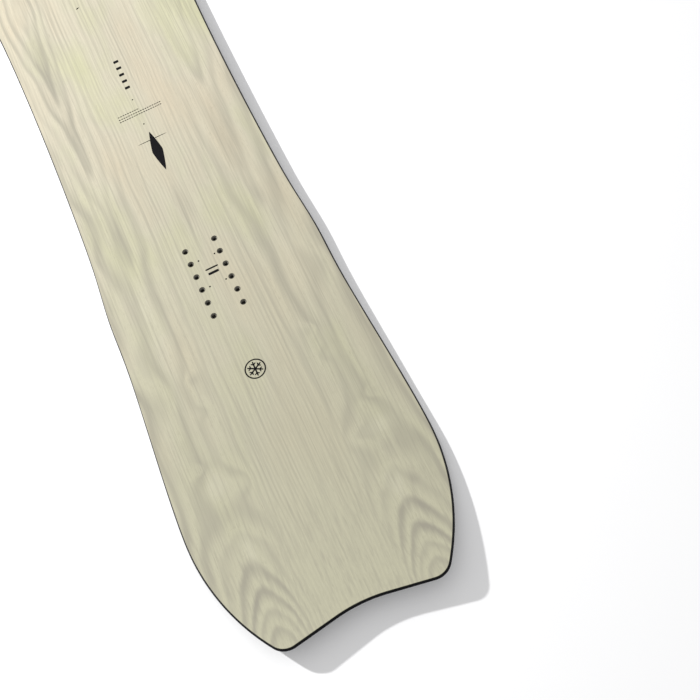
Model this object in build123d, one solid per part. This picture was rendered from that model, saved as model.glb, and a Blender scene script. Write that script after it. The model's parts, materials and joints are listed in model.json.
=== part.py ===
from build123d import *
import os
from math import asin, atan2, cos, degrees, exp, radians, sin, sqrt

# Directional snowboard, built as the laminate it is pressed from. Millimetres.
# X runs across the board, +Y towards the nose, +Z up.
# The base touches z = 0 at its two contact lines, and the origin is under the middle of the board's box.

# Plan shape, at the outer line of the steel edge
overall_length = 1590.0
nose_width = 320.0
waist_width = 264.0
tail_width = 314.0
nose_tip_length = 230.0        # widest line of the nose to the nose tip
tail_tip_length = 175.0        # widest line of the tail to the two tail tips
waist_setback = 6.0            # waist behind the middle of the board
sidecut_fullness = 9.1         # how late the sidecut turns parallel near the widest lines
nose_tip_radius = 100.0
tail_side_radius = 297.0
tail_corner_radius = 23.0
tail_end_slope = 10.5          # degrees, from each tail tip in to the notch
tail_notch_radius = 170.0
grip_bump_height = 3.0         # the edge swells a little beside each foot
grip_bump_spread = 55.6
grip_bump_inboard = 10.0       # from the middle of an insert pack towards the waist

# Side profile
camber_height = 4.5
nose_rise = 52.0
tail_rise = 23.0
contact_inboard = 73.0         # contact lines, inboard of the widest lines
centre_thickness = 9.0
tip_thickness = 5.1
taper_start = 60.0             # outboard of the middle of each insert pack

# Layers, from the bottom up
base_thickness = 1.2
bottom_glass_thickness = 1.0
retention_thickness = 0.4
top_glass_thickness = 0.6
topsheet_thickness = 0.6

# Steel edge and the damping strip on its flange
edge_width = 2.2
flange_depth = 5.0
edge_run_on = 20.0             # the steel runs this far past the widest lines
flange_thickness = 0.45
damping_thickness = 0.2

# Sidewall and core
sidewall_width = 12.0          # outer line to core
sidewall_bevel = 2.3           # how far the topsheet stands in from the outer line
core_strip_count = 15
core_strip_width = 20.0

# Inserts
pack_spacing = 580.0
stance_setback = 30.0          # middle of the two packs behind the middle of the board
insert_row_spacing = 40.0
insert_pitch = 20.0
inserts_per_row = 6
thread_radius = 2.5
barrel_radius = 4.0
insert_flange_radius = 7.5
insert_flange_thickness = 1.0
insert_floor = 0.8             # closed end of the threaded hole, above the flange's underside
insert_recess = 0.3            # insert face below the topsheet
retention_margin = 18.0        # retention strip around the insert rows

# Working values
sidecut_stations = 31
profile_stations = 45
bevel_samples = 7
overrun = 8.0                  # how far a cutting body runs past what it cuts
ring_overrun = 0.4

tail_tip_y = -overall_length / 2
nose_tip_y = overall_length / 2
tail_wide_y = tail_tip_y + tail_tip_length
nose_wide_y = nose_tip_y - nose_tip_length
rear_contact_y = tail_wide_y + contact_inboard
front_contact_y = nose_wide_y - contact_inboard
waist_y = -waist_setback
rear_pack_y = -stance_setback - pack_spacing / 2
front_pack_y = -stance_setback + pack_spacing / 2
bonded_height = base_thickness + bottom_glass_thickness
cover_thickness = top_glass_thickness + topsheet_thickness
widest = max(nose_width, tail_width)


# Side profile: height of the underside, thickness of the board

def kick_height(distance, length, rise):
    radius = (length ** 2 + rise ** 2) / (2 * rise)
    return radius - sqrt(radius ** 2 - distance ** 2)


def underside(y):
    if y > front_contact_y:
        return kick_height(y - front_contact_y, nose_tip_y - front_contact_y, nose_rise)
    if y < rear_contact_y:
        return kick_height(rear_contact_y - y, rear_contact_y - tail_tip_y, tail_rise)
    middle = (front_contact_y + rear_contact_y) / 2
    share = (y - middle) / (front_contact_y - middle)
    return camber_height * (1 - share ** 2) ** 2


def board_thickness(y):
    if y > 0:
        share = (y - front_pack_y - taper_start) / (nose_tip_y - front_pack_y - taper_start)
    else:
        share = (rear_pack_y - taper_start - y) / (rear_pack_y - taper_start - tail_tip_y)
    share = min(max(share, 0), 1)
    taper = share ** 2 * (3 - 2 * share)
    return centre_thickness + (tip_thickness - centre_thickness) * taper


def above_base(height):
    return lambda y: underside(y) + height


def below_top(depth):
    return lambda y: underside(y) + board_thickness(y) - depth


# Plan outline

def sidecut_half_width(y):
    wide_y, wide = (tail_wide_y, tail_width) if y < waist_y else (nose_wide_y, nose_width)
    share = abs((y - waist_y) / (wide_y - waist_y))
    flatten = 2 / sidecut_fullness
    flare = share ** 2 * (1 + flatten - flatten * share ** sidecut_fullness)
    half_width = waist_width / 2 + (wide - waist_width) / 2 * flare
    for foot_y in (rear_pack_y + grip_bump_inboard, front_pack_y - grip_bump_inboard):
        half_width += grip_bump_height * exp(-((y - foot_y) / grip_bump_spread) ** 2)
    return half_width


def sidecut_point(y, inset):
    step = 0.5
    slope = (sidecut_half_width(y + step) - sidecut_half_width(y - step)) / (2 * step)
    length = sqrt(1 + slope ** 2)
    return (sidecut_half_width(y) - inset / length, y + inset * slope / length)


def sidecut_edge(inset):
    span = nose_wide_y - tail_wide_y
    stations = [tail_wide_y + span * i / (sidecut_stations - 1) for i in range(sidecut_stations)]
    inner = [sidecut_point(y, inset) for y in stations[1:-1]]
    start = (tail_width / 2 - inset, tail_wide_y)
    end = (nose_width / 2 - inset, nose_wide_y)
    return Spline(start, *inner, end, tangents=[(0, 1), (0, 1)])


def tail_edges(inset):
    slope = radians(tail_end_slope)
    turn = asin((tail_tip_length - tail_corner_radius) / (tail_side_radius - tail_corner_radius))
    side_x = tail_width / 2 - tail_side_radius
    corner_x = side_x + (tail_side_radius - tail_corner_radius) * cos(turn)
    corner_y = tail_tip_y + tail_corner_radius
    tangent = sin(slope) * corner_x + cos(slope) * corner_y - tail_corner_radius
    notch_y = (tangent - tail_notch_radius) / cos(slope)
    notch = CenterArc((0, notch_y), tail_notch_radius + inset, 90, -tail_end_slope)
    corner_size = 90 - degrees(turn) + tail_end_slope
    corner = CenterArc((corner_x, corner_y), tail_corner_radius - inset, 270 - tail_end_slope, corner_size)
    side = CenterArc((side_x, tail_wide_y), tail_side_radius - inset, -degrees(turn), degrees(turn))
    return [notch, Line(notch @ 1, corner @ 0), corner, side]


def nose_edges(inset):
    half = nose_width / 2
    tip_y = nose_tip_y - nose_tip_radius
    reach = nose_tip_length - nose_tip_radius
    side_radius = (half ** 2 + reach ** 2 - nose_tip_radius ** 2) / (2 * (half - nose_tip_radius))
    turn = degrees(atan2(reach, side_radius - half))
    side = CenterArc((half - side_radius, nose_wide_y), side_radius - inset, 0, turn)
    tip = CenterArc((0, tip_y), nose_tip_radius - inset, turn, 90 - turn)
    return [side, tip]


def half_outline(inset):
    return tail_edges(inset) + [sidecut_edge(inset)] + nose_edges(inset)


def outline(inset):
    right = half_outline(inset)
    left = [edge.mirror(Plane.YZ) for edge in right]
    return make_face(Wire(right + left))


def column(inset):
    # Everything inside the outline, taller than the board
    top = max(nose_rise, tail_rise, camber_height) + centre_thickness + overrun
    return extrude(Pos(0, 0, -overrun) * outline(inset), amount=top + overrun)


# Layers: the space between two heights, the length of the board

def slab(low, high):
    start = tail_tip_y - overrun
    step = (overall_length + 2 * overrun) / (profile_stations - 1)
    stations = [start + step * i for i in range(profile_stations)]
    bottom = Spline([(0, y, low(y)) for y in stations])
    top = Spline([(0, y, high(y)) for y in stations])
    ends = [Line(bottom @ 0, top @ 0), Line(bottom @ 1, top @ 1)]
    side = make_face([bottom, top] + ends)
    return extrude(side, amount=widest / 2 + overrun, dir=(1, 0, 0), both=True)


def lifted(edge, height, samples):
    points = [edge @ (i / (samples - 1)) for i in range(samples)]
    return Spline([(point.X, point.Y, height(point.Y)) for point in points])


def bevelled_body():
    # What lies above the steel edge, inside the sloping face of the sidewalls
    low = above_base(bonded_height - ring_overrun)
    high = below_top(-ring_overrun)
    right = []
    for outer, inner in zip(half_outline(0), half_outline(sidewall_bevel)):
        samples = sidecut_stations if outer.length > overall_length / 2 else bevel_samples
        right.append(Face.make_surface_from_curves(lifted(outer, low, samples), lifted(inner, high, samples)))
    left = [face.mirror(Plane.YZ) for face in right]
    body = slab(above_base(bonded_height), below_top(0))
    pieces = body.split(Shell(right + left), keep=Keep.ALL)
    return min(pieces, key=lambda piece: piece.bounding_box().size.X)


# Cutting bodies for the lengths of the board

def block(low_x, high_x, low_y, high_y):
    top = max(nose_rise, tail_rise, camber_height) + centre_thickness + overrun
    size_x = high_x - low_x
    size_y = high_y - low_y
    middle = ((low_x + high_x) / 2, (low_y + high_y) / 2, (top - overrun) / 2)
    return Pos(*middle) * Box(size_x, size_y, top + overrun)


def four_lengths(ring, side_name, end_name, rear_y, front_y):
    # A ring around the board is two side lengths and two end lengths, butted at rear_y and front_y
    side = widest / 2 + overrun
    end = overall_length / 2 + overrun
    return {
        "left_" + side_name: ring & block(-side, 0, rear_y, front_y),
        "right_" + side_name: ring & block(0, side, rear_y, front_y),
        "nose_" + end_name: ring & block(-side, side, front_y, end),
        "tail_" + end_name: ring & block(-side, side, -end, rear_y),
    }


# Inserts

def insert_places(pack_y):
    places = []
    for side in (-1, 1):
        for i in range(inserts_per_row):
            y = pack_y + (i - (inserts_per_row - 1) / 2) * insert_pitch
            places.append((side * insert_row_spacing / 2, y))
    return places


def insert_solid(x, y):
    foot = underside(y) + bonded_height + retention_thickness
    face = underside(y) + board_thickness(y) - insert_recess
    low = (Align.CENTER, Align.CENTER, Align.MIN)
    flange = Pos(x, y, foot) * Cylinder(insert_flange_radius, insert_flange_thickness, align=low)
    barrel = Pos(x, y, foot) * Cylinder(barrel_radius, face - foot, align=low)
    thread = Pos(x, y, foot + insert_floor) * Cylinder(thread_radius, face - foot, align=low)
    return flange + barrel - thread


def insert_space(x, y):
    # The hole that takes the insert, open through the topsheet
    foot = underside(y) + bonded_height + retention_thickness
    low = (Align.CENTER, Align.CENTER, Align.MIN)
    flange = Pos(x, y, foot) * Cylinder(insert_flange_radius, insert_flange_thickness, align=low)
    barrel = Pos(x, y, foot) * Cylinder(barrel_radius, centre_thickness, align=low)
    return flange + barrel


def insert_group(pack_y):
    return Compound([insert_solid(x, y) for x, y in insert_places(pack_y)])


def insert_spaces():
    return [insert_space(x, y) for pack_y in (front_pack_y, rear_pack_y) for x, y in insert_places(pack_y)]


def retention_area(pack_y):
    half_x = insert_row_spacing / 2 + retention_margin
    half_y = (inserts_per_row - 1) / 2 * insert_pitch + retention_margin
    return block(-half_x, half_x, pack_y - half_y, pack_y + half_y)


# Pieces

def lower_pieces():
    inside_edge = column(edge_width)
    flange_zone = inside_edge - column(edge_width + flange_depth)
    edge_zone = column(0) - inside_edge
    flange_top = base_thickness + flange_thickness
    edge = edge_zone & slab(above_base(0), above_base(bonded_height))
    edge += flange_zone & slab(above_base(base_thickness), above_base(flange_top))
    damping = flange_zone & slab(above_base(flange_top), above_base(flange_top + damping_thickness))
    glass = inside_edge & slab(above_base(base_thickness), above_base(bonded_height))
    glass -= flange_zone & slab(above_base(base_thickness), above_base(flange_top + damping_thickness))
    pieces = {"base": inside_edge & slab(above_base(0), above_base(base_thickness))}
    rear_y = tail_wide_y - edge_run_on
    front_y = nose_wide_y + edge_run_on
    pieces.update(four_lengths(edge, "steel_edge", "edge_strip", rear_y, front_y))
    pieces.update(four_lengths(damping, "damping_strip", "damping_strip", rear_y, front_y))
    pieces["bottom_fibreglass"] = glass
    return pieces


def upper_pieces():
    body = bevelled_body()
    spaces = insert_spaces()
    core_top = below_top(cover_thickness)
    glass_top = below_top(topsheet_thickness)
    middle = body & slab(above_base(bonded_height), core_top)
    inside_wall = column(sidewall_width)
    ring = middle - inside_wall
    retention = slab(above_base(bonded_height), above_base(bonded_height + retention_thickness))
    front_retention = retention & retention_area(front_pack_y)
    rear_retention = retention & retention_area(rear_pack_y)
    core = (middle & inside_wall) - front_retention - rear_retention - spaces
    pieces = four_lengths(ring, "sidewall", "tip_fill", rear_contact_y, front_contact_y)
    pieces["front_retention_strip"] = front_retention - spaces
    pieces["rear_retention_strip"] = rear_retention - spaces
    for i in range(core_strip_count):
        middle_x = (i - (core_strip_count - 1) / 2) * core_strip_width
        half = core_strip_width / 2
        end = overall_length / 2 + overrun
        pieces["core_strip_%d" % (i + 1)] = core & block(middle_x - half, middle_x + half, -end, end)
    pieces["top_fibreglass"] = (body & slab(core_top, glass_top)) - spaces
    veneer = (body & slab(glass_top, below_top(0))) - spaces
    pieces["left_veneer_leaf"] = veneer & block(-widest, 0, -overall_length, overall_length)
    pieces["right_veneer_leaf"] = veneer & block(0, widest, -overall_length, overall_length)
    pieces["front_inserts"] = insert_group(front_pack_y)
    pieces["rear_inserts"] = insert_group(rear_pack_y)
    return pieces


os.makedirs("parts", exist_ok=True)
for name, piece in {**lower_pieces(), **upper_pieces()}.items():
    export_step(piece, "parts/" + name + ".step")
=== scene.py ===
import json
import math
import bmesh
import bpy
import numpy as np
from mathutils import Matrix, Vector


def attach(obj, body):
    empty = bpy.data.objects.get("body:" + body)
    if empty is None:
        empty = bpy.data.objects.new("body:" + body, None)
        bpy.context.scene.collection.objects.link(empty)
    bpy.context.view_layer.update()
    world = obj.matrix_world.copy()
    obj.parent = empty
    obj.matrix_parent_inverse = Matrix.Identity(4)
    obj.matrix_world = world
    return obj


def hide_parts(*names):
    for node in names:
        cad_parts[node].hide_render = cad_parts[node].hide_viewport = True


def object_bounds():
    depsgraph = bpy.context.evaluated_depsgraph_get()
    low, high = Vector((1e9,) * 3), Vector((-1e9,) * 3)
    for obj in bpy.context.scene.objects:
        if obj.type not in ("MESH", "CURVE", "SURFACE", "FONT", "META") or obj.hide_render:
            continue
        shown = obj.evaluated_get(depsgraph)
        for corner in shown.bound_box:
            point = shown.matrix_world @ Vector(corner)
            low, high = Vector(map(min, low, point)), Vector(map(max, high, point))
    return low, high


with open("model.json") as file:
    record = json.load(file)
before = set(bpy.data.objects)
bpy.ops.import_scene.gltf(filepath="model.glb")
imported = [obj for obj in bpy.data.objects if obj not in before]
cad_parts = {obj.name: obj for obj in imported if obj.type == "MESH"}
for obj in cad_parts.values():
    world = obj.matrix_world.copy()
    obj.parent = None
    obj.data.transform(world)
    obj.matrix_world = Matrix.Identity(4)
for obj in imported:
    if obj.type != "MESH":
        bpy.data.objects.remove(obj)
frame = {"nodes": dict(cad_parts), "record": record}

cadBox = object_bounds()
scene = bpy.context.scene
record = frame["record"]
print("frame loaded:", len(frame["nodes"]), "nodes")


# the board's own shape, in metres
board = {
    "length": 1.590,
    "noseWidth": 0.320, "waistWidth": 0.264, "tailWidth": 0.314,
    "noseTip": 0.230, "tailTip": 0.175,          # widest line to the tip
    "waistSetback": 0.006, "sidecutFullness": 9.1,
    "noseTipRadius": 0.100,
    "tailSideRadius": 0.297, "tailCornerRadius": 0.023,
    "tailEndSlope": 10.5, "tailNotchRadius": 0.170,
    "gripBump": 0.0030, "gripSpread": 0.0556, "gripInboard": 0.010,
    "camber": 0.0045, "noseRise": 0.052, "tailRise": 0.023,
    "contactInboard": 0.073,
    "thickness": 0.0090, "tipThickness": 0.0051, "taperStart": 0.060,
    "baseThickness": 0.0012, "bondedHeight": 0.0022,
    "coverThickness": 0.0012, "veneerThickness": 0.0006,
    "edgeWidth": 0.0022, "edgeRunOn": 0.020,
    "flangeDepth": 0.0050, "flangeThickness": 0.00045,
    "sidewallWidth": 0.012, "sidewallBevel": 0.0023,
    "packSpacing": 0.580, "stanceSetback": 0.030,
}
tailY = -board["length"] / 2
noseY = board["length"] / 2
tailWideY = tailY + board["tailTip"]
noseWideY = noseY - board["noseTip"]
rearContactY = tailWideY + board["contactInboard"]
frontContactY = noseWideY - board["contactInboard"]
waistY = -board["waistSetback"]
packY = {
    "rear": -board["stanceSetback"] - board["packSpacing"] / 2,
    "front": -board["stanceSetback"] + board["packSpacing"] / 2,
}


def kickHeight(distance, length, rise):
    # a circle through the contact line and the tip: R - sqrt(R^2 - d^2)
    radius = (length ** 2 + rise ** 2) / (2 * rise)
    return radius - np.sqrt(np.maximum(radius ** 2 - distance ** 2, 0))


def underside(y):
    # camber c (1 - s^2)^2 between the contact lines, and a circular kick past each of them
    middle = (frontContactY + rearContactY) / 2
    share = (y - middle) / (frontContactY - middle)
    camber = board["camber"] * (1 - np.clip(share, -1, 1) ** 2) ** 2
    nose = kickHeight(np.maximum(y - frontContactY, 0), noseY - frontContactY, board["noseRise"])
    tail = kickHeight(np.maximum(rearContactY - y, 0), rearContactY - tailY, board["tailRise"])
    return camber + nose + tail


def boardThickness(y):
    # full thickness between the packs, easing to the tips as s^2 (3 - 2 s)
    frontStart = packY["front"] + board["taperStart"]
    rearStart = packY["rear"] - board["taperStart"]
    front = (y - frontStart) / (noseY - frontStart)
    rear = (rearStart - y) / (rearStart - tailY)
    share = np.clip(np.maximum(front, rear), 0, 1)
    thinner = board["tipThickness"] - board["thickness"]
    return board["thickness"] + thinner * share ** 2 * (3 - 2 * share)


def deckHeight(y):
    return underside(y) + boardThickness(y)


def sidecutHalfWidth(y):
    # w/2 + (wide - w)/2 * u^2 (1 + b - b u^n), with a low bump beside each foot
    behind = y < waistY
    wideY = np.where(behind, tailWideY, noseWideY)
    wide = np.where(behind, board["tailWidth"], board["noseWidth"])
    share = np.abs((y - waistY) / (wideY - waistY))
    flatten = 2 / board["sidecutFullness"]
    flare = share ** 2 * (1 + flatten - flatten * share ** board["sidecutFullness"])
    half = board["waistWidth"] / 2 + (wide - board["waistWidth"]) / 2 * flare
    for footY in (packY["rear"] + board["gripInboard"], packY["front"] - board["gripInboard"]):
        half = half + board["gripBump"] * np.exp(-((y - footY) / board["gripSpread"]) ** 2)
    return half


outlineStep = {"side": 0.0040, "corner": 0.0012}


def arcPoints(centreX, centreY, radius, start, sweep, step):
    # points round a circle, from one angle through a sweep, both in degrees
    count = max(int(abs(math.radians(sweep)) * radius / step), 3) + 1
    angle = np.radians(start + sweep * np.linspace(0, 1, count))
    return np.column_stack([centreX + radius * np.cos(angle), centreY + radius * np.sin(angle)])


def halfOutline():
    # right half, tail notch to nose tip: notch arc, straight, corner, side arc, sidecut, nose arcs
    slope = math.radians(board["tailEndSlope"])
    corner, sideR, notchR = board["tailCornerRadius"], board["tailSideRadius"], board["tailNotchRadius"]
    turn = math.asin((board["tailTip"] - corner) / (sideR - corner))
    sideX = board["tailWidth"] / 2 - sideR
    cornerX = sideX + (sideR - corner) * math.cos(turn)
    cornerY = tailY + corner
    notchY = (math.sin(slope) * cornerX + math.cos(slope) * cornerY - corner - notchR) / math.cos(slope)
    turnDegrees, slopeDegrees = math.degrees(turn), board["tailEndSlope"]
    fine, coarse = outlineStep["corner"], outlineStep["side"]
    notch = arcPoints(0, notchY, notchR, 90, -slopeDegrees, coarse)
    bend = arcPoints(cornerX, cornerY, corner, 270 - slopeDegrees, 90 - turnDegrees + slopeDegrees, fine)
    tailSide = arcPoints(sideX, tailWideY, sideR, -turnDegrees, turnDegrees, coarse)
    count = int((noseWideY - tailWideY) / coarse)
    y = np.linspace(tailWideY, noseWideY, count)
    sidecut = np.column_stack([sidecutHalfWidth(y), y])
    half, tipR = board["noseWidth"] / 2, board["noseTipRadius"]
    reach = board["noseTip"] - tipR
    noseR = (half ** 2 + reach ** 2 - tipR ** 2) / (2 * (half - tipR))
    noseTurn = math.degrees(math.atan2(reach, noseR - half))
    noseSide = arcPoints(half - noseR, noseWideY, noseR, 0, noseTurn, coarse)
    tip = arcPoints(0, noseY - tipR, tipR, noseTurn, 90 - noseTurn, coarse)
    share = np.linspace(0, 1, int(np.linalg.norm(bend[0] - notch[-1]) / coarse) + 1)[:, None]
    straight = notch[-1] * (1 - share) + bend[0] * share
    runs = [notch, straight, bend, tailSide, sidecut, noseSide, tip]
    return np.vstack([runs[0]] + [run[1:] for run in runs[1:]])


def closedOutline():
    # the half and its mirror as one loop, with the unit normal that points into the board
    right = halfOutline()
    right[0, 0] = right[-1, 0] = 0
    loop = np.vstack([right, right[-2:0:-1] * [-1, 1]])
    before = loop - np.roll(loop, 1, axis=0)
    after = np.roll(loop, -1, axis=0) - loop
    lengthBefore = np.linalg.norm(before, axis=1, keepdims=True)
    lengthAfter = np.linalg.norm(after, axis=1, keepdims=True)
    tangent = before * lengthAfter / lengthBefore + after * lengthBefore / lengthAfter
    tangent = tangent / np.linalg.norm(tangent, axis=1, keepdims=True)
    return loop, np.column_stack([-tangent[:, 1], tangent[:, 0]]), len(right)


outline, inward, halfCount = closedOutline()


def gridFaces(rows, columns, wrapColumns=False):
    # four-sided faces of a rows x columns grid of points, counted along the columns first
    index = np.arange(rows * columns).reshape(rows, columns)
    if wrapColumns:
        index = np.hstack([index, index[:, :1]])
    corners = (index[:-1, :-1], index[:-1, 1:], index[1:, 1:], index[1:, :-1])
    return np.stack([corner.ravel() for corner in corners], axis=1)


def meshPiece(name, points, faces, smoothAngle=35):
    # points (n, 3) and faces of three or four corners, put in whole; edges past the angle stay sharp
    mesh = bpy.data.meshes.new(name)
    mesh.from_pydata(points, [], [face for part in faces for face in part.tolist()])
    mesh.update()
    mesh.polygons.foreach_set("use_smooth", np.ones(len(mesh.polygons), bool))
    mesh.set_sharp_from_angle(angle=math.radians(smoothAngle))
    piece = bpy.data.objects.new(name, mesh)
    scene.collection.objects.link(piece)
    return piece


def finishPiece(piece, material, replaced=()):
    piece.data.materials.clear()
    piece.data.materials.append(material)
    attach(piece, "root")
    if replaced:
        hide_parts(*replaced)


def insetRun(first, last, inset):
    # part of the outline by point number, moved inwards
    index = np.arange(first, last + 1) % len(outline)
    return outline[index] + inward[index] * inset


def resample(run, count):
    # the same line, as evenly spaced points
    length = np.concatenate([[0], np.cumsum(np.linalg.norm(np.diff(run, axis=0), axis=1))])
    wanted = np.linspace(0, length[-1], count)
    return np.column_stack([np.interp(wanted, length, run[:, 0]), np.interp(wanted, length, run[:, 1])])


def cornerIndex():
    # where the outline has turned half way: at the tail corner, and on the nose
    normal = inward[:halfCount]
    angle = np.degrees(np.arctan2(normal[:, 1], normal[:, 0]))
    lower = np.nonzero(outline[:halfCount, 1] < tailWideY)[0]
    upper = np.nonzero(outline[:halfCount, 1] > noseWideY)[0]
    tail = lower[np.argmin(np.abs(angle[lower] - 135))]
    nose = upper[np.argmin(np.abs(np.abs(angle[upper]) - 135))]
    return int(tail), int(nose)


tailCorner, noseCorner = cornerIndex()


def coonsGrid(inset, side, rows, columns):
    # one half of the board: a Coons patch between the tail end, the nose end, the side and the middle line
    tailEnd = resample(insetRun(0, tailCorner, inset), columns)
    sideRun = resample(insetRun(tailCorner, noseCorner, inset), rows)
    noseEnd = resample(insetRun(noseCorner, halfCount - 1, inset)[::-1], columns)
    share = (sideRun[:, 1] - sideRun[0, 1]) / (sideRun[-1, 1] - sideRun[0, 1])
    middleY = tailEnd[0, 1] + (noseEnd[0, 1] - tailEnd[0, 1]) * share
    middle = np.column_stack([np.zeros(rows), middleY])
    u = np.linspace(0, 1, columns)[None, :, None]
    v = share[:, None, None]
    ruledAlong = (1 - v) * tailEnd[None] + v * noseEnd[None]
    ruledAcross = (1 - u) * middle[:, None] + u * sideRun[:, None]
    corners = ((1 - u) * (1 - v) * tailEnd[0] + u * (1 - v) * tailEnd[-1]
               + (1 - u) * v * noseEnd[0] + u * v * noseEnd[-1])
    grid = ruledAlong + ruledAcross - corners
    return grid * [side, 1]


def sheetPiece(name, sides, lowInset, highInset, lowHeight, highHeight, rows, columns):
    # a closed sheet: top grid, bottom grid and the strip of wall round both
    def flatGrid(inset):
        halves = {side: coonsGrid(inset, side, rows, columns) for side in sides}
        if len(sides) == 2:
            return np.hstack([halves[-1][:, ::-1], halves[1][:, 1:]])
        return halves[sides[0]] if sides[0] > 0 else halves[sides[0]][:, ::-1]
    top, bottom = flatGrid(highInset), flatGrid(lowInset)
    wide = top.shape[1]
    topPoints = np.dstack([top, highHeight(top[..., 1])]).reshape(-1, 3)
    bottomPoints = np.dstack([bottom, lowHeight(bottom[..., 1])]).reshape(-1, 3)
    index = np.arange(rows * wide).reshape(rows, wide)
    ring = np.concatenate([index[0, :-1], index[:-1, -1], index[-1, :0:-1], index[:0:-1, 0]])
    after = np.roll(ring, -1)
    offset = rows * wide
    wall = np.stack([ring + offset, after + offset, after, ring], axis=1)
    faces = [gridFaces(rows, wide), gridFaces(rows, wide)[:, ::-1] + offset, wall]
    return meshPiece(name, np.vstack([topPoints, bottomPoints]), faces)


def cutEnd(cutY):
    # the outline's point at a cut straight across, with its direction lengthened to lie in the cut
    sideY = outline[tailCorner:noseCorner, 1]
    x = np.interp(cutY, sideY, outline[tailCorner:noseCorner, 0])
    lean = np.interp(cutY, sideY, inward[tailCorner:noseCorner, 0])
    return [[x, cutY]], [[1 / lean, 0]]


def rimRun(side, lowY, highY):
    # points and section directions for one length of the rim, cut at both y; side 0 goes round a tip
    half, normal = outline[:halfCount], inward[:halfCount]
    inside = (half[:, 1] > lowY) & (half[:, 1] < highY)
    points, normals = half[inside], normal[inside]
    if np.isfinite(lowY):
        point, direction = cutEnd(lowY)
        points, normals = np.vstack([point, points]), np.vstack([direction, normals])
    if np.isfinite(highY):
        point, direction = cutEnd(highY)
        points, normals = np.vstack([points, point]), np.vstack([normals, direction])
    if side > 0:
        return points, normals
    flip = [-1, 1]
    if side < 0:
        return points[::-1] * flip, normals[::-1] * flip
    if np.isfinite(highY):
        return np.vstack([points[:0:-1] * flip, points]), np.vstack([normals[:0:-1] * flip, normals])
    return np.vstack([points, points[-2::-1] * flip]), np.vstack([normals, normals[-2::-1] * flip])


def carriedPiece(name, path, normals, section):
    # a section of (inset, height above the underside) points, carried along the path; the loops for its caps
    # are handed back
    insets, heights = section(path[:, 1])
    flat = path[:, None] + normals[:, None] * insets[..., None]
    points = np.dstack([flat, underside(flat[..., 1]) + heights])
    rows, columns = insets.shape
    caps = [list(range(columns))[::-1], list(range((rows - 1) * columns, rows * columns))]
    faces = [gridFaces(rows, columns, wrapColumns=True)[:, ::-1]]
    piece = meshPiece(name, points.reshape(-1, 3), faces)
    return piece, caps


print("shape functions ready")


def newMaterial(name):
    material = bpy.data.materials.new(name)
    material.use_nodes = True
    tree = material.node_tree
    shader = tree.nodes["Principled BSDF"]
    return material, tree, shader


def addNode(tree, kind, inputs=None, **settings):
    # one node, its settings, and for each input a value or another node's socket
    node = tree.nodes.new(kind)
    for key, value in settings.items():
        setattr(node, key, value)
    for key, value in (inputs or {}).items():
        if isinstance(value, bpy.types.NodeSocket):
            tree.links.new(value, node.inputs[key])
        else:
            node.inputs[key].default_value = value
    return node


def maths(tree, operation, first, second=0.0, third=0.0, clamp=False):
    inputs = {0: first, 1: second, 2: third}
    return addNode(tree, "ShaderNodeMath", inputs, operation=operation, use_clamp=clamp).outputs[0]


def objectPlace(tree):
    return addNode(tree, "ShaderNodeTexCoord").outputs["Object"]


def stretched(tree, scale, detail=3, roughness=0.5, place=(0, 0, 0)):
    # noise on the object's own coordinates, stretched by the three scales (features per metre)
    mapping = {"Vector": objectPlace(tree), "Scale": scale, "Location": place}
    moved = addNode(tree, "ShaderNodeMapping", mapping)
    inputs = {"Vector": moved.outputs[0], "Scale": 1.0, "Detail": detail, "Roughness": roughness}
    return addNode(tree, "ShaderNodeTexNoise", inputs).outputs["Fac"]


def mixColour(tree, factor, first, second):
    return addNode(tree, "ShaderNodeMix", {0: factor, 6: first, 7: second}, data_type="RGBA").outputs[2]


def spread(tree, value, low, high, outLow=0.0, outHigh=1.0):
    node = addNode(tree, "ShaderNodeMapRange", {0: value, 1: low, 2: high, 3: outLow, 4: outHigh}, clamp=True)
    return node.outputs[0]


def bumpFrom(tree, shader, height, strength, distance):
    bump = addNode(tree, "ShaderNodeBump", {"Height": height, "Strength": strength, "Distance": distance})
    tree.links.new(bump.outputs[0], shader.inputs["Normal"])


ashVeneer = {
    "earlyWood": (0.492, 0.459, 0.357, 1), "lateWood": (0.268, 0.252, 0.200, 1),
    "peach": (0.505, 0.436, 0.320, 1), "green": (0.462, 0.460, 0.282, 1), "pore": (0.21, 0.19, 0.145, 1),
    "paleWood": (0.600, 0.575, 0.460, 1), "paleDepth": 0.20,
    "tailShadeWood": (0.410, 0.396, 0.286, 1), "tailShadeFrom": 0.0, "tailShadeTo": -0.75,     # painted shade: darker towards the tail, standing for the key light's falloff
    "ringDepth": 0.82, "toneDepth": 0.50, "fibreDepth": 0.26, "threadDepth": 0.38, "poreDepth": 0.42,
    "tintDepth": 0.75, "palerRings": 0.7, "ringPower": 1.15,
    "rise": (0.16, 0.62), "fall": (0.76, 1.0),          # where in a ring the late wood comes and goes
    "quietRing": 0.45, "quietPatch": 0.45,              # what the faintest rings and patches keep
    "wanderBend": 0.55, "rippleBend": 0.32, "frayBend": 0.16, "toneBend": 0.9,
    "roughness": 0.64, "smoother": 0.05, "rougher": 0.07, "specular": 0.18,
    "reliefStrength": 0.18, "reliefHeight": 0.00010, "poreRelief": 0.8,
    # features per metre across, along and up, then detail, roughness and place
    "noises": {
        "wander": ((38, 6, 40), 2, 0.5, (3, 1, 0)),
        "ripple": ((330, 14, 300), 3, 0.5, (0, 7, 2)),
        "fray": ((1500, 90, 900), 3, 0.5, (5, 3, 2)),
        "fibre": ((2300, 40, 900), 4, 0.62, (0, 0, 0)),
        "patch": ((26, 5, 9), 3, 0.5, (4, 4, 4)),
        "tint": ((15, 6, 9), 3, 0.5, (8, 2, 5)),
        "thread": ((420, 3.5, 300), 3, 0.55, (6, 2, 7)),
        "dash": ((3000, 110, 900), 2, 0.5, (1, 5, 9)),
    },
}


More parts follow.
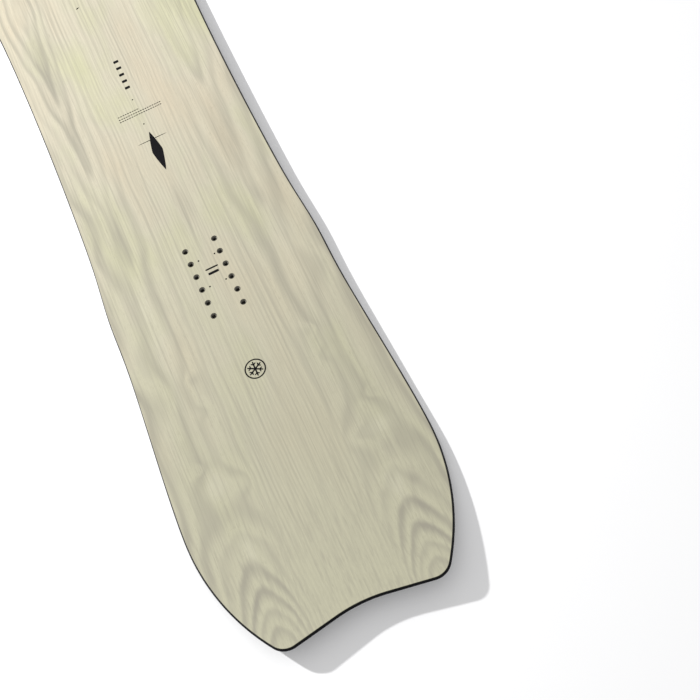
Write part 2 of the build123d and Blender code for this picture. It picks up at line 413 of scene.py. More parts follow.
def veneerMaterial():
    # growth rings are whole numbers of the piece's ringField, bent a little by noise
    material, tree, shader = newMaterial("paleAshVeneer")
    look = ashVeneer
    noise = {name: stretched(tree, *values) for name, values in look["noises"].items()}
    rings, tones, strength = (addNode(tree, "ShaderNodeAttribute", attribute_name=name).outputs["Fac"]
                              for name in ("ringField", "toneField", "ringStrength"))
    bent = maths(tree, "MULTIPLY_ADD", noise["wander"], look["wanderBend"], rings)
    bent = maths(tree, "MULTIPLY_ADD", noise["ripple"], look["rippleBend"], bent)
    bent = maths(tree, "MULTIPLY_ADD", noise["fray"], look["frayBend"], bent)
    inside = maths(tree, "FRACT", bent)
    number = maths(tree, "FLOOR", bent)
    perRing = addNode(tree, "ShaderNodeTexWhiteNoise", {"W": number}, noise_dimensions="1D").outputs["Value"]
    rise = maths(tree, "POWER", spread(tree, inside, *look["rise"]), look["ringPower"])
    late = maths(tree, "MULTIPLY", rise, spread(tree, inside, *look["fall"], 1, 0))
    late = maths(tree, "MULTIPLY", late, spread(tree, perRing, 0, 1, look["quietRing"], 1))
    late = maths(tree, "MULTIPLY", late, spread(tree, noise["patch"], 0.3, 0.7, look["quietPatch"], 1))
    late = maths(tree, "MULTIPLY", late, strength)
    centred = maths(tree, "SUBTRACT", noise["ripple"], 0.5)
    toneEdge = maths(tree, "MULTIPLY_ADD", centred, look["toneBend"], tones)
    dark = maths(tree, "MULTIPLY", spread(tree, toneEdge, 0.10, 0.75), look["toneDepth"])
    light = spread(tree, toneEdge, -0.05, -0.70)
    warm = spread(tree, noise["tint"], 0.46, 0.70, 0, look["tintDepth"])
    ground = mixColour(tree, warm, look["earlyWood"], look["peach"])
    cool = spread(tree, noise["tint"], 0.50, 0.30, 0, look["tintDepth"])
    ground = mixColour(tree, cool, ground, look["green"])
    late = maths(tree, "MULTIPLY", late, spread(tree, light, 0, 1, 1, 1 - look["palerRings"]))
    amount = maths(tree, "MULTIPLY_ADD", late, look["ringDepth"], dark, clamp=True)
    # painted shade: the veneer is mixed towards a darker wood colour towards the tail, for the key light
    # falling off there
    along = addNode(tree, "ShaderNodeSeparateXYZ", {0: objectPlace(tree)}).outputs[1]
    tailShade = spread(tree, along, look["tailShadeFrom"], look["tailShadeTo"])
    ground = mixColour(tree, tailShade, ground, look["tailShadeWood"])
    ground = mixColour(tree, maths(tree, "MULTIPLY", light, look["paleDepth"]), ground, look["paleWood"])
    colour = mixColour(tree, amount, ground, look["lateWood"])
    streak = spread(tree, noise["fibre"], 0.40, 0.72, 0, look["fibreDepth"])
    colour = mixColour(tree, streak, colour, look["lateWood"])
    thread = spread(tree, noise["thread"], 0.48, 0.68, 0, look["threadDepth"])
    colour = mixColour(tree, thread, colour, look["lateWood"])
    pores = maths(tree, "MULTIPLY", spread(tree, noise["dash"], 0.58, 0.70), spread(tree, inside, 0.40, 0.05))
    colour = mixColour(tree, maths(tree, "MULTIPLY", pores, look["poreDepth"]), colour, look["pore"])
    tree.links.new(colour, shader.inputs["Base Color"])
    rough = look["roughness"]
    sheen = spread(tree, noise["fibre"], 0.3, 0.7, rough - look["smoother"], rough + look["rougher"])
    tree.links.new(sheen, shader.inputs["Roughness"])
    relief = maths(tree, "SUBTRACT", noise["fibre"], maths(tree, "MULTIPLY", pores, look["poreRelief"]))
    bumpFrom(tree, shader, relief, look["reliefStrength"], look["reliefHeight"])
    shader.inputs["Specular IOR Level"].default_value = look["specular"]
    return material


finish = {"roughSpread": 0.08, "specks": (700, 700, 700), "specularPlain": 0.5}


def streakedMaterial(name, dark, light, roughness, scale, metallic=0.0, strength=0.15, distance=0.00008,
                     specular=finish["specularPlain"]):
    # two tones by stretched noise, with finer specks, and the same noise as a slight relief
    material, tree, shader = newMaterial(name)
    streaks = stretched(tree, scale, detail=4, roughness=0.6)
    grains = stretched(tree, finish["specks"], roughness=0.65, place=(2, 6, 1))
    share = maths(tree, "MULTIPLY_ADD", grains, 0.5, maths(tree, "MULTIPLY", streaks, 0.5))
    tree.links.new(mixColour(tree, spread(tree, share, 0.36, 0.64), dark, light), shader.inputs["Base Color"])
    smooth, rough = roughness - finish["roughSpread"], roughness + finish["roughSpread"]
    tree.links.new(spread(tree, share, 0.35, 0.65, smooth, rough), shader.inputs["Roughness"])
    bumpFrom(tree, shader, share, strength, distance)
    shader.inputs["Metallic"].default_value = metallic
    shader.inputs["Specular IOR Level"].default_value = specular
    return material


def wovenMaterial(name, dark, light, roughness, pitch, specular=finish["specularPlain"]):
    # glass cloth in resin: the product of two sine bands, one across and one along
    material, tree, shader = newMaterial(name)
    split = addNode(tree, "ShaderNodeSeparateXYZ", {0: objectPlace(tree)})
    across = maths(tree, "SINE", maths(tree, "MULTIPLY", split.outputs[0], 2 * math.pi / pitch))
    along = maths(tree, "SINE", maths(tree, "MULTIPLY", split.outputs[1], 2 * math.pi / pitch))
    weave = maths(tree, "MULTIPLY_ADD", maths(tree, "MULTIPLY", across, along), 0.5, 0.5)
    cloud = stretched(tree, (60, 60, 60), detail=4)
    share = maths(tree, "MULTIPLY_ADD", cloud, 0.6, maths(tree, "MULTIPLY", weave, 0.4))
    tree.links.new(mixColour(tree, share, dark, light), shader.inputs["Base Color"])
    smooth, rough = roughness - finish["roughSpread"], roughness + finish["roughSpread"]
    tree.links.new(spread(tree, cloud, 0.3, 0.7, smooth, rough), shader.inputs["Roughness"])
    bumpFrom(tree, shader, weave, 0.25, 0.00008)
    shader.inputs["Specular IOR Level"].default_value = specular
    return material


materials = {
    "ash_veneer": veneerMaterial(),
    "sidewall_plastic": streakedMaterial(
        "planedBlackSidewall", (0.0015, 0.0015, 0.002, 1), (0.006, 0.006, 0.007, 1), 0.50, (160, 160, 1500),
        specular=0.10),
    "edge_steel": streakedMaterial(
        "groundEdgeSteel", (0.38, 0.385, 0.40, 1), (0.62, 0.63, 0.65, 1), 0.30, (3200, 40, 3200),
        metallic=1.0),
    "base_polyethylene": streakedMaterial(
        "groundRunningBase", (0.007, 0.007, 0.009, 1), (0.052, 0.052, 0.058, 1), 0.34, (900, 10, 600),
        strength=0.6, distance=0.00025),
    "damping_rubber": streakedMaterial(
        "dampingRubber", (0.010, 0.010, 0.010, 1), (0.028, 0.027, 0.026, 1), 0.72, (300, 300, 300)),
    "glass_laminate": wovenMaterial(
        "clearGlassCloth", (0.42, 0.43, 0.33, 1), (0.60, 0.61, 0.50, 1), 0.38, 0.0016),
    "dark_laminate": wovenMaterial(
        "blackGlassCloth", (0.002, 0.002, 0.002, 1), (0.010, 0.010, 0.010, 1), 0.50, 0.0016, specular=0.10),
    "retention_laminate": wovenMaterial(
        "pressedGlassStrip", (0.34, 0.31, 0.17, 1), (0.50, 0.47, 0.30, 1), 0.5, 0.0012),
    "dense_core_wood": streakedMaterial(
        "planedPoplar", (0.40, 0.29, 0.16, 1), (0.58, 0.45, 0.28, 1), 0.62, (900, 18, 900), strength=0.3),
    "light_core_wood": streakedMaterial(
        "planedPaulownia", (0.52, 0.41, 0.26, 1), (0.70, 0.59, 0.42, 1), 0.68, (600, 12, 600), strength=0.3),
    # painted shade: the insert steel is coloured dark brown, far darker than bare steel, for the shade inside
    # the threaded holes
    "insert_steel": streakedMaterial(
        "insertSteelPaintedShade", (0.060, 0.056, 0.045, 1), (0.21, 0.20, 0.17, 1), 0.36, (500, 500, 2600),
        metallic=1.0),
}
inkMaterial = streakedMaterial(
    "screenInk", (0.003, 0.003, 0.004, 1), (0.009, 0.008, 0.009, 1), 0.70, (900, 120, 900),
    strength=0.1, distance=0.00003, specular=0.06)

for subpart in record["subparts"]:
    node = frame["nodes"][subpart["node"]]
    node.data.materials.clear()
    node.data.materials.append(materials[subpart["material_slot"]])
print("materials ready:", len(materials))


rim = {"cornerBreak": 0.00030, "sharpPast": 35}      # small chamfer on the outer corners; degrees


def sidewallSection(y):
    # sloping outer face from the bonded line to the top glass, in to the core's edge
    low = np.full_like(y, board["bondedHeight"])
    high = boardThickness(y) - board["coverThickness"]
    wall = board["sidewallWidth"]
    bevel = board["sidewallBevel"] * (high - low) / (boardThickness(y) - low)
    zero, full = np.zeros_like(y), np.full_like(y, wall)
    nick = rim["cornerBreak"]
    nickInset = bevel * nick / (high - low)
    insets = np.stack([zero + nick, nickInset, bevel * 0.5, bevel, full, full], axis=1)
    heights = np.stack([low, low + nick, (low + high) / 2, high, high, low], axis=1)
    return insets, heights


def edgeSection(y):
    # square edge with a broken corner, and the thin flange that runs in under the glass
    one = np.ones_like(y)
    nick, width = rim["cornerBreak"], board["edgeWidth"]
    baseTop = board["baseThickness"]
    flangeTop = baseTop + board["flangeThickness"]
    inner = width + board["flangeDepth"]
    top = board["bondedHeight"]
    pairs = [(nick, 0), (0, nick), (0, top), (width, top), (width, flangeTop), (inner, flangeTop),
             (inner, baseTop), (width, baseTop), (width, 0)]
    insets = np.stack([one * pair[0] for pair in pairs], axis=1)
    heights = np.stack([one * pair[1] for pair in pairs], axis=1)
    return insets, heights


def closeEnds(piece, caps):
    # one flat face on each cut end, then normals turned outwards
    sheet = bmesh.new()
    sheet.from_mesh(piece.data)
    sheet.verts.ensure_lookup_table()
    for cap in caps:
        sheet.faces.new([sheet.verts[i] for i in cap])
    bmesh.ops.recalc_face_normals(sheet, faces=sheet.faces)
    sheet.to_mesh(piece.data)
    sheet.free()
    piece.data.set_sharp_from_angle(angle=math.radians(rim["sharpPast"]))


def rimPieces():
    # node, piece, side, where it is cut, section and slot of each length
    steelLow = tailWideY - board["edgeRunOn"]
    steelHigh = noseWideY + board["edgeRunOn"]
    wall, edge = (sidewallSection, "sidewall_plastic"), (edgeSection, "edge_steel")
    strip = (edgeSection, "sidewall_plastic")
    lengths = []
    for side, word in ((-1, "left"), (1, "right")):
        lengths.append((word + "_sidewall", word + "Sidewall", side, rearContactY, frontContactY, *wall))
        lengths.append((word + "_steel_edge", word + "SteelEdge", side, steelLow, steelHigh, *edge))
    lengths.append(("nose_tip_fill", "noseTipFill", 0, frontContactY, np.inf, *wall))
    lengths.append(("nose_edge_strip", "noseEdgeStrip", 0, steelHigh, np.inf, *strip))
    lengths.append(("tail_tip_fill", "tailTipFill", 0, -np.inf, rearContactY, *wall))
    lengths.append(("tail_edge_strip", "tailEdgeStrip", 0, -np.inf, steelLow, *strip))
    for node, name, side, lowY, highY, section, slot in lengths:
        path, normals = rimRun(side, lowY, highY)
        piece, caps = carriedPiece(name, path, normals, section)
        closeEnds(piece, caps)
        finishPiece(piece, materials[slot], [node])


rimPieces()
print("rim pieces done")


runningBase = {"rows": 360, "columns": 52}


def topOfBase(y):
    return underside(y) + board["baseThickness"]


def basePiece():
    inset = board["edgeWidth"]
    piece = sheetPiece("runningBase", (-1, 1), inset, inset, underside, topOfBase,
                       runningBase["rows"], runningBase["columns"])
    finishPiece(piece, materials["base_polyethylene"], ["base"])


basePiece()
print("base done")


inserts = {
    "rowSpacing": 0.040, "pitch": 0.020, "perRow": 6,
    "barrel": 0.0040, "recess": 0.0003, "flange": 0.0075, "flangeThickness": 0.0010,
    "floor": 0.0008, "threadRoot": 0.0030, "threadCrest": 0.0025, "threadPitch": 0.0010,
    "mouthChamfer": 0.0006, "mouthFlare": 0.6, "around": 32, "pointsPerThread": 6, "retention": 0.0004,
    "softCorner": 0.00025, "poleRadius": 0.0004, "barrelGap": 0.00001,
    "holeSides": 48, "drumReach": 0.003,                            # the drums that cut the veneer's holes
}


def insertPlaces(middleY):
    along = (np.arange(inserts["perRow"]) - (inserts["perRow"] - 1) / 2) * inserts["pitch"] + middleY
    return [(side * inserts["rowSpacing"] / 2, y) for side in (-1, 1) for y in along]


# two leaves, book-matched about the middle line
veneer = {
    "rows": 560, "columns": 58,
    "heartX": 93.0,                # millimetres, as the next four
    "heartRing": 10.0, "outboardRing": 8.6, "inboardRing": 4.5,
    "narrowFrom": 27.0, "narrowOver": 7.0,
    "heartRound": 0.6, "tailRound": 1.5, "heartReach": 4.6,     # in rings
    # how far the saw cut runs from the tree's middle, in rings, at places along the board (millimetres)
    "leftDepth": ((-800, -0.8), (-775, 0.0), (-752, 1.0), (-720, 2.0), (-690, 3.0), (-655, 4.0), (-622, 4.7),
                  (-577, 4.3), (-542, 4.7), (-500, 5.0), (-455, 4.8), (-400, 4.6), (-275, 4.4), (-240, 4.2),
                  (-170, 4.0), (-110, 3.5), (-50, 3.0), (20, 2.5), (80, 2.0), (162, 1.2), (240, 0.9),
                  (330, 1.6), (430, 2.7), (520, 2.1), (620, 3.0), (700, 3.8), (800, 4.6)),
    "rightDepth": ((-800, -0.7), (-780, 0.0), (-760, 1.0), (-732, 2.0), (-700, 3.0), (-665, 4.0), (-632, 4.7),
                   (-592, 4.25), (-542, 4.75), (-495, 5.0), (-450, 4.8), (-400, 4.6), (-275, 4.5),
                   (-195, 4.0), (-90, 3.6), (-38, 3.2), (30, 2.7), (120, 2.0), (170, 1.4), (250, 1.0),
                   (340, 1.7), (440, 2.8), (525, 2.2), (625, 3.1), (705, 3.9), (800, 4.7)),
    "eyes": ((2, -210, 12, 52, 1.3), (0, 60, 14, 34, 0.5), (0, 330, 12, 40, 0.8)),   # x, y, half sizes, rings
    "chevrons": ((-125, 22, 0.7), (38, 20, 0.6), (420, 30, 0.6)),                    # y, half length, rings
    # places where the lines hook sideways: x, y, half width, half length, rings
    "hooks": ((-76, -437, 11, 8, 0.36), (-79, -482, 11, 9, -0.34), (80, -443, 11, 8, 0.38),
              (81, -482, 11, 9, -0.36), (-69, -585, 16, 12, -0.55), (73, -595, 16, 12, -0.60),
              (109, -552, 14, 8, 0.45), (-104, -548, 14, 8, 0.40)),
    # broad tones: x, y, half width, half length, darker (+) or lighter (-)
    "tones": ((-90, -215, 9, 52, 0.75), (-92, 90, 16, 110, 0.60), (-95, -350, 13, 85, -0.55),
              (93, -120, 12, 75, 0.60), (95, -245, 8, 26, 0.65), (96, -335, 14, 75, -0.55),
              (95, 60, 13, 60, -0.50), (93, 150, 26, 60, -0.25), (-98, -614, 13, 22, 0.50),
              (98, -622, 13, 24, 0.50), (-99, -577, 14, 17, -0.85), (102, -596, 15, 14, -0.8),
              (-108, -548, 9, 22, 0.35), (109, -552, 10, 24, 0.40), (-91, -665, 11, 24, -0.65),
              (92, -672, 11, 24, -0.65), (2, -210, 12, 46, 0.45), (0, -690, 55, 70, 0.18),
              (115, -670, 9, 14, 0.45), (-120, -120, 8, 140, 0.30), (74, 150, 50, 210, -0.42),
              (-30, -330, 18, 60, -0.12), (34, -60, 16, 70, -0.15), (-94, 330, 16, 90, -0.5),
              (96, 380, 14, 80, 0.30), (-97, 560, 18, 60, 0.6), (95, 590, 16, 50, -0.5),
              (0, 560, 40, 90, 0.15)),
    "heartSway": 3, "swayLength": 130, "tailBlendY": 10, "tailBlendOver": 45,
    "chevronLean": 0.45, "chevronHalf": 46,
    "straightHalf": 60, "straightOver": 9, "straightTone": 0.42,
    "archTone": (-725, 75, 0.55),                              # bolder rings towards the tail
    "waves": 9, "waveLengths": (40, 160), "waveTurn": 0.5, "waveRings": 0.022, "fullWave": 60, "seed": 41,
}


def smoothThrough(knots, y):
    # a smooth line through the knots: cubic pieces with averaged slopes
    knotY, value = np.array(knots, float).T
    slope = np.gradient(value, knotY)
    place = np.clip(np.searchsorted(knotY, y) - 1, 0, len(knotY) - 2)
    span = knotY[place + 1] - knotY[place]
    t = np.clip((y - knotY[place]) / span, 0, 1)
    return ((1 + 2 * t) * (1 - t) ** 2 * value[place] + t * (1 - t) ** 2 * span * slope[place]
            + t ** 2 * (3 - 2 * t) * value[place + 1] + t ** 2 * (t - 1) * span * slope[place + 1])


def ringField(x, y, side):
    # rings of a flat cut: sqrt(across^2 + round^2) - round + depth(y) exp(-(across / reach)^2),
    # where across counts the rings from the heart, and they narrow inboard
    away = np.abs(x) - veneer["heartX"] - veneer["heartSway"] * np.sin(y / veneer["swayLength"])
    narrow = veneer["narrowOver"] * np.logaddexp(0, (-away - veneer["narrowFrom"]) / veneer["narrowOver"])
    inboard = -away / veneer["heartRing"] + (1 / veneer["inboardRing"] - 1 / veneer["heartRing"]) * narrow
    across = np.where(away < 0, inboard, away / veneer["outboardRing"])
    depth = smoothThrough(veneer["leftDepth"] if side < 0 else veneer["rightDepth"], y)
    tailShare = 0.5 - 0.5 * np.tanh((y - tailWideY * 1000 - veneer["tailBlendY"]) / veneer["tailBlendOver"])
    heartRound = veneer["heartRound"] + (veneer["tailRound"] - veneer["heartRound"]) * tailShare
    field = np.sqrt(across ** 2 + heartRound ** 2) - heartRound
    field = field + depth * np.exp(-(across / veneer["heartReach"]) ** 2)
    for eyeX, eyeY, halfX, halfY, rings in veneer["eyes"] + veneer["hooks"]:
        field = field + rings * np.exp(-((x - eyeX) / halfX) ** 2 - ((y - eyeY) / halfY) ** 2)
    for chevronY, halfY, rings in veneer["chevrons"]:
        lifted = y - chevronY + np.abs(x) * veneer["chevronLean"]
        field = field + rings * np.exp(-(lifted / halfY) ** 2 - (x / veneer["chevronHalf"]) ** 2)
    draw = np.random.default_rng(veneer["seed"] + side)
    for wave in range(veneer["waves"]):
        length = draw.uniform(*veneer["waveLengths"])
        turn = draw.uniform(-veneer["waveTurn"], veneer["waveTurn"])
        start = draw.uniform(0, 2 * np.pi)
        size = veneer["waveRings"] * length / veneer["fullWave"]
        field = field + size * np.sin(2 * np.pi * (y * np.cos(turn) + x * np.sin(turn)) / length + start)
    return field


def toneField(x, y):
    # broad darker and lighter places: the sum of the tones' bell shapes
    field = np.zeros_like(x)
    for toneX, toneY, halfX, halfY, tone in veneer["tones"]:
        field = field + tone * np.exp(-((x - toneX) / halfX) ** 2 - ((y - toneY) / halfY) ** 2)
    return field


def ringStrength(x, y):
    # how dark the rings are: more towards the tail, less in the straight lines along the middle
    middle, half, more = veneer["archTone"]
    flatSawn = 0.5 + 0.5 * np.tanh((np.abs(x) - veneer["straightHalf"]) / veneer["straightOver"])
    return (veneer["straightTone"] + (1 - veneer["straightTone"]) * flatSawn) * (
        1 + more * flatSawn * np.exp(-((y - middle) / half) ** 2))


def addField(mesh, name, value):
    field = mesh.attributes.new(name, "FLOAT", "POINT")
    field.data.foreach_set("value", value.astype(np.float32))


def cutInsertHoles(piece):
    # the inserts' holes, cut with one set of drums, each a profile carried round its own axis
    rounds = np.linspace(0, 2 * np.pi, inserts["holeSides"], endpoint=False)
    ring = np.column_stack([np.cos(rounds), np.sin(rounds)]) * inserts["barrel"]
    points, faces = [], []
    for middleY in packY.values():
        for x, y in insertPlaces(middleY):
            start = sum(len(part) for part in points)
            height = float(deckHeight(np.array(y)))
            for level in (height - inserts["drumReach"], height + inserts["drumReach"]):
                points.append(np.column_stack([ring + [x, y], np.full(len(ring), level)]))
            faces.append(gridFaces(2, len(ring), wrapColumns=True) + start)
            faces.append(np.arange(len(ring))[::-1][None] + start)
            faces.append(np.arange(len(ring))[None] + start + len(ring))
    drums = meshPiece("insertDrums", np.vstack(points), faces)
    cut = piece.modifiers.new("insertHoles", "BOOLEAN")
    cut.operation = "DIFFERENCE"
    cut.object = drums
    cut.solver = "MANIFOLD"
    depsgraph = bpy.context.evaluated_depsgraph_get()
    mesh = bpy.data.meshes.new_from_object(piece.evaluated_get(depsgraph))
    piece.modifiers.clear()
    piece.data = mesh
    bpy.data.objects.remove(drums)


def veneerFoot(y):
    return deckHeight(y) - board["veneerThickness"]


def veneerLeaf(side, name, node):
    bevelHeight = board["thickness"] - board["bondedHeight"]
    bevelDrop = board["sidewallBevel"] * board["veneerThickness"] / bevelHeight
    piece = sheetPiece(name, (side,), board["sidewallBevel"] - bevelDrop, board["sidewallBevel"],
                       veneerFoot, deckHeight, veneer["rows"], veneer["columns"])
    cutInsertHoles(piece)
    mesh = piece.data
    count = len(mesh.vertices)
    place = np.empty(count * 3)
    mesh.vertices.foreach_get("co", place)
    place = place.reshape(-1, 3) * 1000
    addField(mesh, "ringField", ringField(place[:, 0], place[:, 1], side))
    addField(mesh, "toneField", toneField(place[:, 0], place[:, 1]))
    addField(mesh, "ringStrength", ringStrength(place[:, 0], place[:, 1]))
    mesh.set_sharp_from_angle(angle=math.radians(rim["sharpPast"]))
    finishPiece(piece, materials["ash_veneer"], [node])
    print(name, count, "points")


veneerLeaf(-1, "leftVeneerLeaf", "left_veneer_leaf")
veneerLeaf(1, "rightVeneerLeaf", "right_veneer_leaf")


def insertProfile(y):
    # radius and height from the foot's middle, out round the flange, up the barrel, down the thread
    foot = float(underside(np.array(y))) + board["bondedHeight"] + inserts["retention"]
    top = float(deckHeight(np.array(y))) - inserts["recess"]
    flangeTop = foot + inserts["flangeThickness"]
    floor = foot + inserts["floor"]
    mouth = top - inserts["mouthChamfer"]
    steps = int((mouth - floor) / inserts["threadPitch"] * inserts["pointsPerThread"])
    down = np.linspace(mouth, floor, steps)
    turns = (mouth - down) / inserts["threadPitch"]
    sway = np.abs(2 * (turns % 1) - 1)
    bore = inserts["threadCrest"] + (inserts["threadRoot"] - inserts["threadCrest"]) * (1 - sway)
    small, flange, pole = inserts["softCorner"], inserts["flange"], inserts["poleRadius"]
    barrel = inserts["barrel"] - inserts["barrelGap"]
    lip = inserts["threadRoot"] + inserts["mouthChamfer"] * inserts["mouthFlare"]
    outside = [(pole, foot), (flange - small, foot), (flange, foot + small), (flange, flangeTop - small),
               (flange - small, flangeTop), (inserts["barrel"] + small, flangeTop),
               (barrel, flangeTop + small), (barrel, top - small), (inserts["barrel"] - small, top),
               (lip, top)]
    radius, height = np.array(outside).T
    radius = np.concatenate([radius, bore, [pole]])
    height = np.concatenate([height, down, [floor]])
    return radius, height


def insertPack(middleY):
    # each profile turned about its axis, with a small fan closing the two poles
    around = inserts["around"]
    angle = np.linspace(0, 2 * np.pi, around, endpoint=False)
    points, faces, start = [], [], 0
    for x, y in insertPlaces(middleY):
        radius, height = insertProfile(y)
        ringX = x + radius[:, None] * np.cos(angle)
        ringY = y + radius[:, None] * np.sin(angle)
        ringZ = np.repeat(height[:, None], around, axis=1)
        points.append(np.dstack([ringX, ringY, ringZ]).reshape(-1, 3))
        points.append(np.array([[x, y, height[0]], [x, y, height[-1]]]))
        rows = len(radius)
        faces.append(gridFaces(rows, around, wrapColumns=True) + start)
        here = np.arange(around)
        after = (here + 1) % around
        foot = np.full(around, rows * around)
        faces.append(np.stack([foot, after, here], axis=1) + start)
        last = (rows - 1) * around
        faces.append(np.stack([foot + 1, here + last, after + last], axis=1) + start)
        start += rows * around + 2
    return np.vstack(points), faces


for word, middleY in packY.items():
    points, faces = insertPack(middleY)
    piece = meshPiece(word + "Inserts", points, faces, smoothAngle=30)
    finishPiece(piece, materials["insert_steel"], [word + "_inserts"])
print("inserts done")


# printed marks are plain forms, a thin film of ink on the deck
ink = {"film": 0.00004, "sink": 0.00003, "rings": 3, "innerShare": 0.25, "around": 44, "ringAround": 96}


def inkFilm(flat, faces, rimIndex):
    # a flat grid laid on the deck, with its underside and the thin wall round it
    height = deckHeight(flat[:, 1])
    top = np.column_stack([flat, height + ink["film"]])
    bottom = np.column_stack([flat, height - ink["sink"]])
    count = len(flat)
    walls = []
    for loop in rimIndex:
        after = np.roll(loop, -1)
        walls.append(np.stack([loop + count, after + count, after, loop], axis=1))
    return np.vstack([top, bottom]), faces + [face[:, ::-1] + count for face in faces] + walls


def inkBlob(x, y, halfX, halfY, power=2.0, turn=0.0):
    # |x/a|^p + |y/b|^p = 1, filled from the middle out; a high power is a block, a power of 1 a lozenge
    angle = np.linspace(0, 2 * np.pi, ink["around"], endpoint=False)
    edgeX = halfX * np.sign(np.cos(angle)) * np.abs(np.cos(angle)) ** (2 / power)
    edgeY = halfY * np.sign(np.sin(angle)) * np.abs(np.sin(angle)) ** (2 / power)
    share = np.linspace(1, ink["innerShare"], ink["rings"])[:, None]
    turned = math.radians(turn)
    flatX, flatY = (share * edgeX).ravel(), (share * edgeY).ravel()
    spun = np.column_stack([flatX * math.cos(turned) - flatY * math.sin(turned),
                            flatX * math.sin(turned) + flatY * math.cos(turned)])
    flat = np.vstack([spun, [[0, 0]]]) + [x, y]
    around = len(angle)
    here = np.arange(around)
    after = (here + 1) % around
    last = (ink["rings"] - 1) * around
    centre = np.full(around, ink["rings"] * around)
    faces = [gridFaces(ink["rings"], around, wrapColumns=True),
             np.stack([here + last, after + last, centre], axis=1)]
    return inkFilm(flat, faces, [here])


def inkRing(x, y, radius, width):
    # a flat band round a circle
    angle = np.linspace(0, 2 * np.pi, ink["ringAround"], endpoint=False)
    rows = np.array([radius, radius - width])[:, None]
    flat = np.column_stack([(x + rows * np.cos(angle)).ravel(), (y + rows * np.sin(angle)).ravel()])
    here = np.arange(len(angle))
    return inkFilm(flat, [gridFaces(2, len(angle), wrapColumns=True)], [here, here[::-1] + len(angle)])


def inkPiece(name, films):
    points, faces, start = [], [], 0
    for filmPoints, filmFaces in films:
        points.append(filmPoints)
        faces += [face + start for face in filmFaces]
        start += len(filmPoints)
    piece = meshPiece(name, np.vstack(points), faces)
    finishPiece(piece, inkMaterial)


marks = {
    "barX": -0.001, "barPitch": 0.0120, "barTop": 0.050, "barCount": 5, "barHalf": (0.0036, 0.0021),
    "upperDot": (-0.0015, -0.020), "lowerDot": (-0.001, -0.064), "dotRadius": 0.0010,
    "lineTops": (-0.0375, -0.0420, -0.0460), "lineStart": -0.028, "lineEnd": 0.033, "dashHeight": 0.00062,
    "dashPitch": 0.0034, "dashHalf": 0.0012,
    "lozenge": (0.001, -0.112, 0.0072, 0.033), "strokeHalf": (0.020, 0.00050), "strokeY": -0.092,
    "packBars": ((0.002, -0.3070, 0.0085, 0.0011), (0.002, -0.3140, 0.0070, 0.0018)),
    "reference": ((-0.0095, -0.2903), (0.0125, -0.2903), (-0.0095, -0.3305), (0.0125, -0.3305)),
    "referenceRadius": 0.0011,
    "badge": (-0.0005, -0.4595), "badgeRadius": 0.0132, "badgeBand": 0.0017, "armHalf": (0.0100, 0.00095),
    "branchFrom": 0.0055, "branchShift": 0.0015, "branchHalf": (0.0022, 0.00075), "branchLean": 55,
    "noseMark": (-0.019, 0.165), "noseMarkHalf": (0.0026, 0.0011),
}


def printedMarks():
    barY = marks["barTop"] - np.arange(marks["barCount"]) * marks["barPitch"]
    inkPiece("barColumn", [inkBlob(marks["barX"], y, *marks["barHalf"], power=6) for y in barY])
    spots = (marks["upperDot"], marks["lowerDot"])
    inkPiece("spacerDots", [inkBlob(x, y, marks["dotRadius"], marks["dotRadius"]) for x, y in spots])
    dashes = []
    for row, y in enumerate(marks["lineTops"]):
        stop = 0.0 if row == 0 else marks["lineEnd"]
        for x in np.arange(marks["lineStart"], stop, marks["dashPitch"]):
            dashes.append(inkBlob(x, y, marks["dashHalf"], marks["dashHeight"], power=5))
    inkPiece("dashLines", dashes)
    x, y, halfX, halfY = marks["lozenge"]
    inkPiece("slimLozenge", [inkBlob(x, y, halfX, halfY, power=1.15)])
    inkPiece("crossHair", [inkBlob(x, marks["strokeY"], *marks["strokeHalf"], power=2.5)])
    inkPiece("packBars", [inkBlob(*bar, power=6) for bar in marks["packBars"]])
    radius = marks["referenceRadius"]
    inkPiece("referenceDots", [inkBlob(x, y, radius, radius) for x, y in marks["reference"]])
    x, y = marks["badge"]
    crystal = [inkRing(x, y, marks["badgeRadius"], marks["badgeBand"])]
    for turn in (30, 90, 150):
        crystal.append(inkBlob(x, y, *marks["armHalf"], power=5, turn=turn))
    for turn in range(30, 390, 60):
        along = math.radians(turn)
        for lean in (-marks["branchLean"], marks["branchLean"]):
            branch = math.radians(turn + lean)
            footX = x + marks["branchFrom"] * math.cos(along) + marks["branchShift"] * math.cos(branch)
            footY = y + marks["branchFrom"] * math.sin(along) + marks["branchShift"] * math.sin(branch)
            crystal.append(inkBlob(footX, footY, *marks["branchHalf"], power=5, turn=turn + lean))
    inkPiece("crystalBadge", crystal)
    inkPiece("noseSpot", [inkBlob(*marks["noseMark"], *marks["noseMarkHalf"], power=1.2, turn=20)])


printedMarks()
print("marks done")


studio = {
    "floorHalf": 9.0, "floorColour": (0.76, 0.76, 0.76, 1), "floorGlow": 0.12,     # painted light: the floor glows evenly, which lifts its shadow and the contact shade under the board
    "floorBelow": 0.0002, "floorPoints": 5, "mottle": 0.985,
    "keyDirection": (1.044, -1.119, -1.0), "keyDistance": 2.6, "keyTarget": (0.0, -0.55, 0.0),
    "keySize": 0.10, "keyPower": 84.0,
    "ambient": 0.68, "ambientColour": (1.0, 1.0, 1.01, 1),
}
view = {
    "place": (0.07135, -1.25709, 1.54616), "lens": 74.48, "sensor": 36.0,
    "azimuth": 2.957, "elevation": 63.492, "roll": 22.905, "farEnd": 50,
}


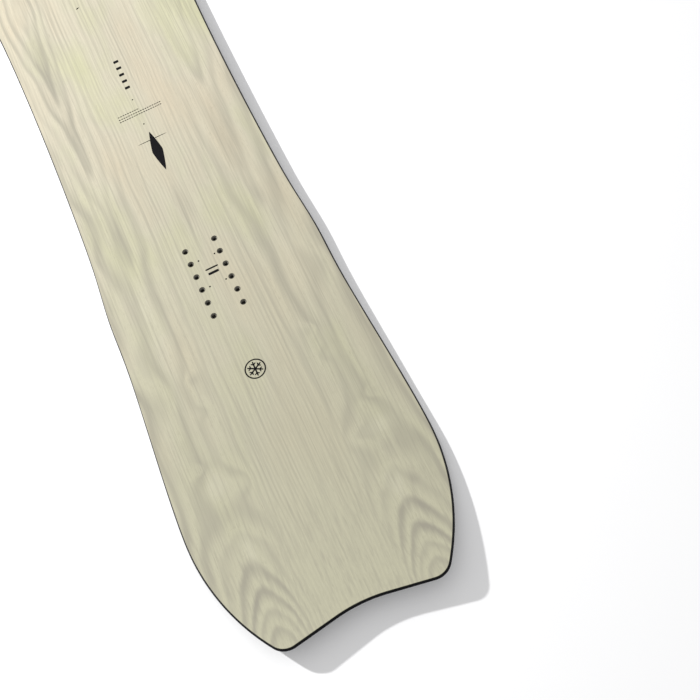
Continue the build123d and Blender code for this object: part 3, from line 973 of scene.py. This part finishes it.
def makeFloor():
    lowest = cadBox[0][2] - studio["floorBelow"]
    half, count = studio["floorHalf"], studio["floorPoints"]
    span = np.linspace(-half, half, count)
    x, y = np.meshgrid(span, span)
    points = np.dstack([x, y, np.full_like(x, lowest)]).reshape(-1, 3)
    floor = meshPiece("paleFloor", points, [gridFaces(count, count)])
    material, tree, shader = newMaterial("paleFloorPaper")
    mottle = stretched(tree, (3, 3, 3))
    pale = studio["floorColour"]
    soft = tuple(value * studio["mottle"] for value in pale[:3]) + (1,)
    tree.links.new(mixColour(tree, mottle, soft, pale), shader.inputs["Base Color"])
    shader.inputs["Roughness"].default_value = 0.95
    shader.inputs["Specular IOR Level"].default_value = 0.1
    # painted light: an even glow on the floor, lifting the board's shadow and the contact shade at its rim
    shader.inputs["Emission Color"].default_value = (1, 1, 1, 1)
    shader.inputs["Emission Strength"].default_value = studio["floorGlow"]
    floor.data.materials.append(material)


def makeLight():
    direction = np.array(studio["keyDirection"]) / np.linalg.norm(studio["keyDirection"])
    place = np.array(studio["keyTarget"]) - direction * studio["keyDistance"]
    data = bpy.data.lights.new("keyLight", "AREA")
    data.shape = "DISK"
    data.size = studio["keySize"]
    data.energy = studio["keyPower"]
    light = bpy.data.objects.new("keyLight", data)
    light.location = place
    light.rotation_mode = "QUATERNION"
    light.rotation_quaternion = Vector(direction).to_track_quat("-Z", "Y")
    scene.collection.objects.link(light)
    world = bpy.data.worlds.new("softRoom")
    world.use_nodes = True
    background = world.node_tree.nodes["Background"]
    background.inputs["Color"].default_value = studio["ambientColour"]
    background.inputs["Strength"].default_value = studio["ambient"]
    scene.world = world


def makeCamera():
    azimuth, elevation, roll = (math.radians(view[key]) for key in ("azimuth", "elevation", "roll"))
    forward = np.array([math.sin(azimuth) * math.cos(elevation), math.cos(azimuth) * math.cos(elevation),
                        -math.sin(elevation)])
    right = np.cross(forward, [0, 0, 1])
    right = right / np.linalg.norm(right)
    down = np.cross(forward, right)
    rolledRight = math.cos(roll) * right + math.sin(roll) * down
    rolledDown = -math.sin(roll) * right + math.cos(roll) * down
    data = bpy.data.cameras.new("mainCamera")
    data.lens = view["lens"]
    data.sensor_width = view["sensor"]
    data.clip_end = view["farEnd"]
    camera = bpy.data.objects.new("mainCamera", data)
    turned = np.column_stack([rolledRight, -rolledDown, -forward])
    camera.matrix_world = Matrix.Translation(view["place"]) @ Matrix(turned.tolist()).to_4x4()
    scene.collection.objects.link(camera)
    scene.camera = camera


makeFloor()
makeLight()
makeCamera()
scene.view_settings.view_transform = "Standard"
print("stage done")
